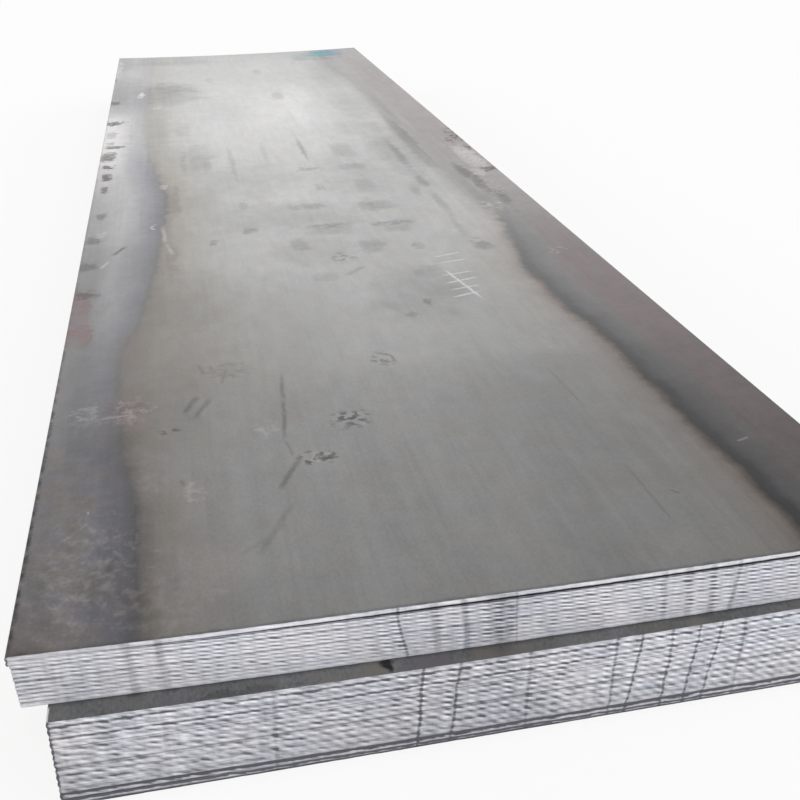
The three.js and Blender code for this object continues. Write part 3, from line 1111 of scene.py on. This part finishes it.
@dataclass(frozen=True)
class ShearedEnd(Finish):
    """The bare steel of a pack's sheared ends: slanting dashes that line up in leaning columns.

    Strengths along the end are points of metres from the left; strengths down it are points of
    plates below the top. Where the dashes run on, they join into seams between the plates.
    """

    row_at: Points
    rows: Points
    seams: Points
    # Tone down the end; on the lower pack it falls towards the floor as painted shade.
    tones_and_shade: Points
    dashes: Points
    run_on: Points
    level: Points
    streaks: tuple[Streak, ...]
    lines: tuple[Line, ...]
    column: float = 0.0232
    lean: float = 0.15
    drop: float = 0.42
    weaves: Points = ((0.0, 0.9), (0.3, 0.6), (0.6, 0.5), (1.5, 0.45))
    weave: Grain = Grain(40.0, 240.0)
    weave_tilt: float = 6.0
    weave_depth: float = 0.3 * MM
    sway: Grain = Grain(9.0, 14.0)
    upright: Grain = Grain(90.0, 9.0)
    broad: Grain = Grain(8.0, 12.0)
    upright_strength: float = 0.3
    broad_strength: float = 0.25
    column_sway: float = 1.2
    row_sway: float = 0.3
    dash_weave: float = 0.5
    dash_reach: Ease = (0.5, 0.05)
    dash_least: float = 0.2
    cell_strength: float = 0.7
    stem: float = 5.0
    stem_strength: float = 0.4
    all_strength: float = 0.45
    dark_strength: float = 0.72
    line_sway: float = 0.3
    line_weave: float = 1.6
    line_core: float = 0.25
    line_start: float = 0.1
    streak_sway: float = 0.012
    streak_weave: float = 0.4
    streak_core: float = 0.2
    streak_hides: float = 0.7
    streak_darkens: float = 0.5
    streak_seam: float = 0.9
    # Painted shade: the end darkens within a few millimetres of its left side, between plates that step in
    # and out.
    side: Ease = (0.006, 0.001)
    left_shade_strength: Slope = (0.6, 0.4)
    # Painted light: the top plate's end, with no plate above to shade it, is made brighter by this much.
    rim: float = 0.2
    lit_top_down: Ease = (0.95, 0.8)
    lit_top_across: Ease = (0.08, 0.35)
    bright: Colour = (0.84, 0.86, 0.94)
    pink: Colour = (0.88, 0.86, 0.90)
    pink_share: Slope = (3.0, 0.5)
    dark: Colour = (0.08, 0.08, 0.095)
    warm: Colour = (0.94, 0.93, 0.91)
    warm_side: Ease = (0.14, 0.0)
    metallic: float = 0.25
    roughness: float = 0.5

    def coat(self, place: Place) -> Coat:
        """Adds the nodes of the sheared end's dashes, lines and streaks over bare steel.

        Args:
            place: where a point lies.

        Returns:
            The finish.
        """
        nodes, x, z, end = place.nodes, place.across, place.z, place.y
        down = place.plates - place.layer
        sway, upright, broad = (
            nodes.grain(grain, x, z, end) for grain in (self.sway, self.upright, self.broad)
        )
        tilt = math.radians(self.weave_tilt)
        run = x * math.cos(tilt) - z * math.sin(tilt)
        rise = x * math.sin(tilt) + z * math.cos(tilt)
        weave = nodes.grain(self.weave, run, rise, end)
        column = (x + z * self.lean) / self.column + sway * self.column_sway
        at = column.part() - HALF
        level = down.line(self.row_at) + sway * self.row_sway + weave * self.dash_weave
        tilted = level - at * self.drop
        cell = nodes.chance(column.whole(), (tilted + HALF).whole(), end.whole())
        stem = nodes.chance(column.whole(), self.stem, end.whole())
        strength = cell * self.cell_strength + stem * self.stem_strength + self.all_strength
        reach = (abs(at) + weave * self.dash_weave).rise(*self.dash_reach, self.dash_least)
        dash = self.ripple(tilted) * reach * strength
        dash = dash.at_least(dash * self.dark_strength) * down.line(self.rows) * x.line(self.dashes)
        seam = self.ripple(level) * down.line(self.seams)
        run_on = x.line(self.run_on)
        swing = dash * (1.0 - run_on) + seam * run_on
        streak = self.streaked(x, down / place.plates, sway + weave * self.streak_weave)
        light = swing * (1.0 - streak * self.streak_hides) + weave * x.line(self.weaves)
        light = light + upright * self.upright_strength + broad * self.broad_strength + x.line(self.level)
        light = light - streak * (self.streak_darkens - seam * self.streak_seam)
        light = light - self.lined(x, down, sway + weave * self.line_weave)
        # Painted shade along the left side of the end.
        light = light - x.rise(*self.side) * cell.scaled(*self.left_shade_strength)
        steel = nodes.mix(broad.share(self.pink_share), self.bright, self.pink)
        steel = nodes.mix(x.rise(*self.warm_side), steel, self.warm, "MULTIPLY")
        # Painted light and shade: the top plate's end is brightened, as no plate above shades it, and the
        # lower pack darkens towards the floor.
        rim = down.rise(*self.lit_top_down) * x.rise(*self.lit_top_across) * self.rim
        colour = nodes.shade(nodes.mix(light.held(), self.dark, steel), down.line(self.tones_and_shade) + rim)
        return Coat(colour, self.metallic, self.roughness, weave * self.weave_depth)

    @staticmethod
    def ripple(at: Value) -> Value:
        """Swings smoothly from -0.5 at each whole number to 0.5 halfway to the next."""
        return HALF - abs(at.part() - HALF).rise(0.0, HALF)

    def lined(self, x: Value, down: Value, sway: Value) -> Value:
        """Draws the end's unbroken dark lines.

        Args:
            x: the distance from the left.
            down: how many plates lie above.
            sway: how far the lines waver.

        Returns:
            How much of them lies at a point.
        """
        strongest: Number = 0.0
        for line in self.lines:
            off = abs(down - x.rise(0.0, line.levels_at, line.left, line.right) + sway * self.line_sway)
            drawn = off.rise(line.width, self.line_core * line.width, 0.0, line.strength)
            if line.start:
                drawn = drawn * x.rise(self.line_start * line.start, line.start)
            strongest = drawn.at_least(strongest)
        return strongest

    def streaked(self, x: Value, share: Value, sway: Value) -> Value:
        """Draws the end's dark streaks.

        Args:
            x: the distance from the left.
            share: how far down the pack it is, from 0 to 1.
            sway: how far the streaks waver.

        Returns:
            How much of them lies at a point.
        """
        strongest: Number = 0.0
        for streak in self.streaks:
            off = abs(x - share.scaled(streak.foot - streak.top, streak.top) + sway * self.streak_sway)
            drawn = off.rise(streak.width, self.streak_core * streak.width, 0.0, streak.strength)
            strongest = drawn.at_least(strongest)
        return strongest


@dataclass(frozen=True)
class RolledEdge(Finish):
    """The dull rolled edges along a pack's sides, each plate's a little different.

    Rust lies on them in streaks along the edge and in drips down the pack.
    """

    tone: Colour = (0.20, 0.195, 0.19)
    rust: Colour = (0.25, 0.15, 0.105)
    metallic: float = 0.6
    roughness: float = 0.5
    streak: Grain = Grain(3.0, 60.0, 9.0, 4.0)
    drip: Grain = Grain(24.0, 5.0, layers=3.0)
    speck: Grain = Grain(90.0, 300.0)
    rust_streak: float = 0.7
    rust_drip: float = 0.5
    rust_own: float = 0.12
    rust_ease: Ease = (-0.02, 0.20)
    rust_shine: float = -0.4
    rust_roughness: float = 0.25
    tone_own: float = 0.5
    tone_speck: float = 0.5
    tone_least: float = 0.75
    depth: float = 0.3 * MM

    def coat(self, place: Place) -> Coat:
        """Adds the nodes of the edges' scale and rust.

        Args:
            place: where a point lies.

        Returns:
            The finish.
        """
        nodes = place.nodes
        own = nodes.chance(place.layer.whole(), 1.0)
        streak = nodes.grain(self.streak, place.y, place.z, own)
        drip, speck = (nodes.grain(grain, place.y, place.z, place.x) for grain in (self.drip, self.speck))
        rust = streak * self.rust_streak + drip * self.rust_drip + own * self.rust_own
        rust = rust.rise(*self.rust_ease)
        tone = own * self.tone_own + speck * self.tone_speck + self.tone_least
        colour = nodes.mix(rust, nodes.shade(self.tone, tone), self.rust)
        metallic = rust.scaled(self.rust_shine, self.metallic)
        roughness = rust.scaled(self.rust_roughness, self.roughness)
        return Coat(colour, metallic, roughness, (speck + drip) * self.depth)


# ---- Plates ---------------------------------------------------------------------------------


class Surface(Enum):
    """The kinds of surface a plate has, by the number of their material slots."""

    FACE = 0
    END = 1
    EDGE = 2


@dataclass(frozen=True)
class Unevenness:
    """One way in which a shear leaves an end uneven. The size is that of its clouds, in metres.

    What hangs under a plate is left off the lowest, which lies on the floor.
    """

    name: str
    group: str
    direction: str
    depth: float
    middle: float
    size: float = 0.0
    hangs: bool = False


UNEVENNESS = (
    Unevenness("tear", "cut", "Y", 1.1 * MM, 0.5, 0.014),
    Unevenness("grit", "cut", "Y", 0.5 * MM, 0.5, 0.005),
    Unevenness("roll", "upper", "Z", -0.8 * MM, 0.4, 0.011),
    Unevenness("burr", "lower", "Z", -0.8 * MM, 0.4, 0.011, True),
    Unevenness("lip", "gap", "Z", -0.95 * MM, 0.0, 0.0, True),
)


@dataclass
class UnevenPlate:
    """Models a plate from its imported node, with ends as uneven as a shear leaves them."""

    stack: Stack
    number: int
    cuts: int = 16
    long_edge: float = 0.05
    behind: float = 0.012
    merge_gap: float = 0.01 * MM
    upright: float = 0.25
    flat_angle: float = 40.0
    smooth_angle: float = 25.0
    rim_share: float = 0.3
    widest_gap: float = 1.05 * MM

    def build(self, materials: dict[Surface, bpy.types.Material]) -> bpy.types.Object:
        """Models the plate and gives it its finishes.

        Args:
            materials: the material of each kind of surface.

        Returns:
            The finished piece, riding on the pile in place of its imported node.
        """
        node = self.stack.node(self.number)
        bpy.ops.object.select_all(action="DESELECT")
        piece = bpy.data.objects.new(f"uneven_{node}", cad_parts[node].data.copy())
        bpy.context.scene.collection.objects.link(piece)
        bpy.context.view_layer.objects.active = piece
        piece.select_set(True)
        self.square_up()
        self.split_rows(piece)
        self.cut_behind_ends(piece)
        self.roughen(piece)
        piece.data.materials.clear()
        for kind in Surface:
            piece.data.materials.append(materials[kind])
        for face in piece.data.polygons:
            face.material_index = self.kind(face.normal).value
        bpy.ops.object.shade_smooth_by_angle(angle=math.radians(self.smooth_angle))
        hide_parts(node)
        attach(piece, "root")
        LOG.info("%s modelled and dressed", piece.name)
        return piece

    def kind(self, normal: Vector) -> Surface:
        """Tells the kinds of surface apart.

        Args:
            normal: the way that a face looks.

        Returns:
            The face's kind.
        """
        if abs(normal.y) > self.upright:
            return Surface.END
        return Surface.EDGE if abs(normal.x) > self.upright else Surface.FACE

    def square_up(self) -> None:
        """Joins the loose triangles of the copy into four-sided faces."""
        bpy.ops.object.mode_set(mode="EDIT")
        bpy.ops.mesh.select_all(action="SELECT")
        bpy.ops.mesh.customdata_custom_splitnormals_clear()
        bpy.ops.mesh.remove_doubles(threshold=self.merge_gap)
        flat = math.radians(self.flat_angle)
        bpy.ops.mesh.tris_convert_to_quads(face_threshold=flat, shape_threshold=math.pi)
        bpy.ops.mesh.select_mode(type="EDGE")
        bpy.ops.mesh.select_all(action="DESELECT")
        bpy.ops.object.mode_set(mode="OBJECT")

    def split_rows(self, piece: bpy.types.Object) -> None:
        """Splits the rows along the ends into short faces.

        Args:
            piece: the plate.
        """
        points = [vertex.co for vertex in piece.data.vertices]
        for edge in piece.data.edges:
            run = points[edge.vertices[1]] - points[edge.vertices[0]]
            edge.select = abs(run.x) > self.long_edge and abs(run.y) < abs(run.x)
        bpy.ops.object.mode_set(mode="EDIT")
        bpy.ops.mesh.subdivide(number_cuts=self.cuts)
        bpy.ops.object.mode_set(mode="OBJECT")

    def cut_behind_ends(self, piece: bpy.types.Object) -> None:
        """Cuts a line round the plate a little behind each end, past which nothing is uneven.

        Args:
            piece: the plate.
        """
        for side in (-1.0, 1.0):
            ends = [face for face in piece.data.polygons if face.normal.y * side > self.upright]
            area = sum(face.area for face in ends)
            middle = sum((face.center * face.area for face in ends), Vector()) / area
            outward = sum((face.normal * face.area for face in ends), Vector())
            outward.z = 0.0
            outward.normalize()
            bpy.ops.object.mode_set(mode="EDIT")
            bpy.ops.mesh.select_all(action="SELECT")
            bpy.ops.mesh.bisect(plane_co=middle - outward * self.behind, plane_no=outward)
            bpy.ops.object.mode_set(mode="OBJECT")

    def weigh(self, piece: bpy.types.Object) -> None:
        """Weighs the points of the ends: all of the cut face, and most of all its two rims.

        Args:
            piece: the plate.
        """
        names = ("cut", "upper", "lower", "gap")
        groups = {name: piece.vertex_groups.new(name=name) for name in names}
        found = {
            point
            for face in piece.data.polygons
            if self.kind(face.normal) is Surface.END
            for point in face.vertices
        }
        stack, rim = self.stack, self.rim_share * self.stack.thickness
        for index in found:
            point = piece.data.vertices[index].co
            height = point.z - stack.underside(self.number, point.x)
            lower = min(1.0, max(0.0, 1.0 - height / rim))
            upper = min(1.0, max(0.0, 1.0 - (stack.thickness - height) / rim))
            weights = (1.0, upper, lower, lower * min(1.0, stack.gap(point.x) / self.widest_gap))
            for name, weight in zip(names, weights):
                groups[name].add([index], weight, "REPLACE")

    def roughen(self, piece: bpy.types.Object) -> None:
        """Pushes the points of the ends about, each kind of unevenness by its own texture.

        Args:
            piece: the plate.
        """
        self.weigh(piece)
        for uneven in UNEVENNESS:
            if uneven.hangs and self.number == 1:
                continue
            modifier = piece.modifiers.new(uneven.name, "DISPLACE")
            if uneven.size:
                texture = bpy.data.textures.new(f"{piece.name}_{uneven.name}", "CLOUDS")
                texture.noise_scale = uneven.size
                texture.noise_depth = 1
                modifier.texture = texture
                modifier.texture_coords = "LOCAL"
            modifier.direction = uneven.direction
            modifier.strength = uneven.depth
            modifier.mid_level = uneven.middle
            modifier.vertex_group = uneven.group
            bpy.ops.object.modifier_apply(modifier=uneven.name)
        piece.vertex_groups.clear()


@dataclass
class Pack:
    """A pack of like plates, lying one on another."""

    stack: Stack
    end: Finish
    top_face: Finish
    face: Finish = field(default_factory=MillScale)
    edge: Finish = field(default_factory=RolledEdge)

    def build(self) -> None:
        """Models every plate, the topmost with its own face."""
        name = self.stack.name
        level = replace(self.stack, spring=0.0)
        materials = {
            Surface.FACE: self.face.material(f"{name}_faces", level),
            Surface.END: self.end.material(f"{name}_ends", level),
            Surface.EDGE: self.edge.material(f"{name}_edges", level),
        }
        for number in range(1, level.count):
            UnevenPlate(level, number).build(materials)
        materials[Surface.FACE] = self.top_face.material(f"{name}_top_face", self.stack)
        if self.stack.spring:
            materials[Surface.END] = self.end.material(f"{name}_top_end", self.stack)
        UnevenPlate(self.stack, self.stack.count).build(materials)
        LOG.info("%s pack built of %d plates", name, self.stack.count)


# ---- Studio ---------------------------------------------------------------------------------


@dataclass
class Floor:
    """A plain pale floor."""

    reach: float = 150.0
    colour: Colour = (0.93, 0.93, 0.93)
    glow: float = 0.7

    def build(self) -> None:
        """Lays the floor under the pile."""
        bpy.ops.object.select_all(action="DESELECT")
        bpy.ops.mesh.primitive_plane_add(size=2.0 * self.reach)
        floor = bpy.context.object
        floor.name = "floor"
        material = bpy.data.materials.new("floor_paint")
        material.use_nodes = True
        nodes = Nodes(material.node_tree)
        paint = nodes.add("ShaderNodeBsdfDiffuse", {}, {"Color": (*self.colour, 1.0)}).outputs[0]
        white = nodes.add("ShaderNodeEmission", {}, {"Strength": 1.0}).outputs[0]
        ray = nodes.add("ShaderNodeLightPath", {})
        seen = [Value(nodes, ray.outputs[f"Is {kind} Ray"]) for kind in ("Camera", "Glossy", "Transmission")]
        factor = seen[0].at_least(seen[1]).at_least(seen[2]) * self.glow
        shader = nodes.add("ShaderNodeMixShader", {}, [factor, paint, white])
        nodes.add("ShaderNodeOutputMaterial", {}, [shader.outputs[0]])
        floor.data.materials.append(material)
        LOG.info("floor laid")


@dataclass
class Lights:
    """A bright band round the horizon, a dimmer ceiling and one broad soft lamp in front."""

    horizon: float = 1.4
    ceiling: float = 0.45
    band_top: float = 21.0
    ceiling_start: float = 26.0
    lamp_strength: float = 1.6
    lamp_width: float = 50.0
    lamp_height: float = 52.0
    lamp_side: float = -25.0

    def build(self) -> None:
        """Lights the studio."""
        world = bpy.data.worlds.new("studio")
        bpy.context.scene.world = world
        world.use_nodes = True
        nodes = Nodes(world.node_tree)
        ray = nodes.add("ShaderNodeTexCoord", {}).outputs["Generated"]
        height = nodes.value("ShaderNodeSeparateXYZ", {}, [ray], 2)
        low, high = (math.sin(math.radians(angle)) for angle in (self.band_top, self.ceiling_start))
        strength = height.rise(low, high, self.horizon, self.ceiling)
        background = nodes.add("ShaderNodeBackground", {}, {"Color": (1, 1, 1, 1), "Strength": strength})
        nodes.add("ShaderNodeOutputWorld", {}, [background.outputs[0]])
        lamp = bpy.data.lights.new("soft_lamp", "SUN")
        lamp.energy = self.lamp_strength
        lamp.angle = math.radians(self.lamp_width)
        holder = bpy.data.objects.new("soft_lamp", lamp)
        bpy.context.scene.collection.objects.link(holder)
        side, up = math.radians(self.lamp_side), math.radians(self.lamp_height)
        toward = Vector((math.sin(side) * math.cos(up), -math.cos(side) * math.cos(up), math.sin(up)))
        holder.rotation_euler = toward.to_track_quat("Z", "Y").to_euler()
        LOG.info("lights set")


@dataclass
class Viewpoint:
    """The camera, placed from the near left corner of the pile's top plate. Angles in degrees."""

    corner: Vector
    right: float = 0.328187
    along: float = -1.364916
    above: float = 1.026789
    yaw: float = 11.015
    pitch: float = 25.656
    roll: float = -1.048
    focal_pixels: float = 1094.9
    image_pixels: float = 800.0
    sensor: float = 36.0

    def build(self) -> None:
        """Sets the camera up."""
        data = bpy.data.cameras.new("camera")
        data.sensor_width = self.sensor
        data.lens = self.sensor * self.focal_pixels / self.image_pixels
        camera = bpy.data.objects.new("camera", data)
        bpy.context.scene.collection.objects.link(camera)
        yaw, pitch, roll = (math.radians(angle) for angle in (self.yaw, self.pitch, self.roll))
        forward = Vector((
            math.sin(yaw) * math.cos(pitch),
            math.cos(yaw) * math.cos(pitch),
            -math.sin(pitch),
        ))
        level = Vector((math.cos(yaw), -math.sin(yaw), 0.0))
        upward = level.cross(forward)
        right = level * math.cos(roll) + upward * math.sin(roll)
        up = upward * math.cos(roll) - level * math.sin(roll)
        turn = Matrix((right, up, -forward)).transposed()
        place = self.corner + Vector((self.right, self.along, self.above))
        camera.matrix_world = Matrix.Translation(place) @ turn.to_4x4()
        bpy.context.scene.camera = camera
        LOG.info("camera set")


UPPER_END = ShearedEnd(
    row_at=((0.0, 0.0), (12.0, 12.0)),
    rows=(
        (0.0, 0.8), (0.3, 0.0), (0.7, 0.0), (1.4, 0.7), (2.0, 0.9), (3.0, 1.15), (4.0, 0.9), (5.0, 1.15),
        (6.0, 1.0), (7.0, 0.9), (8.0, 1.15), (9.0, 1.15), (10.0, 0.8), (11.0, 0.5), (12.0, 0.0),
    ),
    seams=(
        (0.0, 0.4), (0.3, 0.0), (0.7, 0.0), (1.4, 0.4), (3.0, 0.6), (5.0, 0.6), (9.0, 0.6), (10.0, 0.5),
        (11.0, 0.3), (12.0, 0.0),
    ),
    tones_and_shade=(
        (0.0, 0.7), (0.12, 0.8), (0.3, 1.0), (1.3, 0.95), (9.3, 0.95), (10.3, 1.0), (10.9, 1.12),
        (12.0, 1.12),
    ),
    dashes=((0.0, 0.7), (0.6, 0.95), (1.5, 0.95)),
    run_on=((0.0, 0.65), (0.06, 0.45), (0.15, 0.25), (0.4, 0.14), (1.5, 0.1)),
    level=(
        (0.0, 0.53), (0.2, 0.565), (0.4, 0.6), (0.6, 0.54), (0.85, 0.54), (1.0, 0.57), (1.3, 0.58),
        (1.5, 0.58),
    ),
    # Both lines are painted shade: the first under the springing top plate, the second where the pack rests
    # on the lower one.
    lines=(Line(1.14, 1.16, 0.34, 0.42, 0.25), Line(12.05, 12.02, 0.16, 0.3)),
    streaks=(
        Streak(0.172, 0.18, 0.012, 0.3), Streak(0.218, 0.226, 0.01, 0.35),
        Streak(0.583, 0.598, 0.004, 0.6), Streak(0.643, 0.648, 0.01, 0.3),
        Streak(0.69, 0.696, 0.008, 0.35), Streak(0.75, 0.756, 0.036, 0.35),
        Streak(0.776, 0.78, 0.004, 0.4), Streak(1.026, 1.03, 0.008, 0.3),
        Streak(1.07, 1.072, 0.01, 0.35), Streak(1.113, 1.114, 0.01, 0.35),
        Streak(1.16, 1.148, 0.006, 0.4),
    ),
)
LOWER_END = ShearedEnd(
    row_at=((0.0, 0.0), (2.57, 3.0), (4.32, 5.0), (7.14, 8.0), (12.7, 13.0), (13.0, 13.3)),
    rows=(
        (0.0, 0.0), (0.4, 0.4), (0.9, 1.2), (1.7, 0.7), (2.6, 1.2), (3.5, 0.8), (4.5, 1.0), (6.0, 1.0),
        (7.0, 0.95), (8.0, 1.05), (9.0, 1.0), (10.0, 0.9), (11.0, 0.5), (12.0, 0.1), (13.0, 0.0),
    ),
    seams=(
        (0.0, 0.0), (0.4, 0.4), (0.9, 0.6), (1.7, 0.3), (2.6, 0.6), (3.5, 0.3), (4.5, 0.3), (7.0, 0.3),
        (10.0, 0.3), (11.0, 0.2), (12.0, 0.1), (13.0, 0.0),
    ),
    # Painted shade: darker towards the floor, darkest at the lowest plate's foot.
    tones_and_shade=(
        (0.0, 0.98), (1.0, 0.97), (3.0, 0.98), (6.0, 0.92), (10.5, 0.84), (11.3, 0.82), (12.2, 0.95),
        (12.6, 0.8), (13.0, 0.5),
    ),
    dashes=((0.0, 0.6), (0.35, 0.7), (0.7, 0.85), (1.5, 0.9)),
    run_on=((0.0, 0.5), (0.1, 0.3), (0.3, 0.18), (0.6, 0.12), (1.5, 0.1)),
    level=(
        (0.0, 0.47), (0.25, 0.46), (0.5, 0.42), (0.65, 0.39), (0.75, 0.42), (0.85, 0.48), (1.0, 0.53),
        (1.15, 0.53), (1.5, 0.53),
    ),
    # The last two lines are painted shadow at the foot of the lowest plate, where it meets the floor.
    lines=(
        Line(0.95, 0.9, 0.26, 0.22), Line(2.55, 2.7, 0.26, 0.26), Line(11.15, 11.72, 0.38, 0.9),
        Line(12.1, 12.4, 0.28, 0.75), Line(12.85, 12.98, 0.4, 0.6, levels_at=0.25),
    ),
    streaks=(
        Streak(0.168, 0.166, 0.006, 0.15), Streak(0.336, 0.33, 0.006, 0.25),
        Streak(0.57, 0.558, 0.004, 0.8), Streak(0.629, 0.612, 0.004, 0.6),
        Streak(0.745, 0.742, 0.005, 0.35), Streak(0.893, 0.884, 0.004, 0.5),
        Streak(0.938, 0.912, 0.004, 0.75), Streak(0.991, 0.978, 0.004, 0.65),
        Streak(1.037, 1.018, 0.004, 0.7), Streak(1.077, 1.053, 0.004, 0.65),
        Streak(1.119, 1.11, 0.005, 0.35),
    ),
    column=0.0208,
    lean=-0.16,
    drop=0.45,
    weaves=((0.0, 1.6), (0.3, 1.35), (0.6, 1.05), (1.5, 0.85)),
    weave=Grain(34.0, 150.0),
    weave_tilt=15.0,
    rim=0.0,
)
TOP_PLATE_SPRING = 2.6 * MM
LOWER_SHIFT = 47.3 * MM


def main() -> None:
    """Models and dresses the packs and sets the studio, camera first."""
    logging.basicConfig(level=logging.INFO, format="%(message)s")
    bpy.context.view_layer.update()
    bpy.context.scene.view_settings.view_transform = "Standard"
    low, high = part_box("upper_plate_12")
    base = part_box("upper_plate_01")[0].z
    upper = Stack(
        name="upper", slot="upper_plates", count=12, thickness=7.75 * MM, pitch=7.85 * MM, base=base,
        left=low.x, near=low.y, middle=(low.x + high.x) / 2.0, rise=9.0 * MM, rise_step=0.0,
        spring=TOP_PLATE_SPRING,
    )
    lower = Stack(
        name="lower", slot="lower_plates", count=13, thickness=11.75 * MM, pitch=12.05 * MM, base=0.0,
        left=low.x + LOWER_SHIFT, near=low.y, middle=upper.middle, rise=0.0, rise_step=0.75 * MM,
    )
    top_middle = base + upper.pitch * (upper.count - 1) + upper.thickness
    Viewpoint(Vector((low.x, low.y, top_middle))).build()
    Floor().build()
    Lights().build()
    Pack(lower, LOWER_END, LedgeScale()).build()
    Pack(upper, UPPER_END, TopScale()).build()


if __name__ == "__main__":
    main()
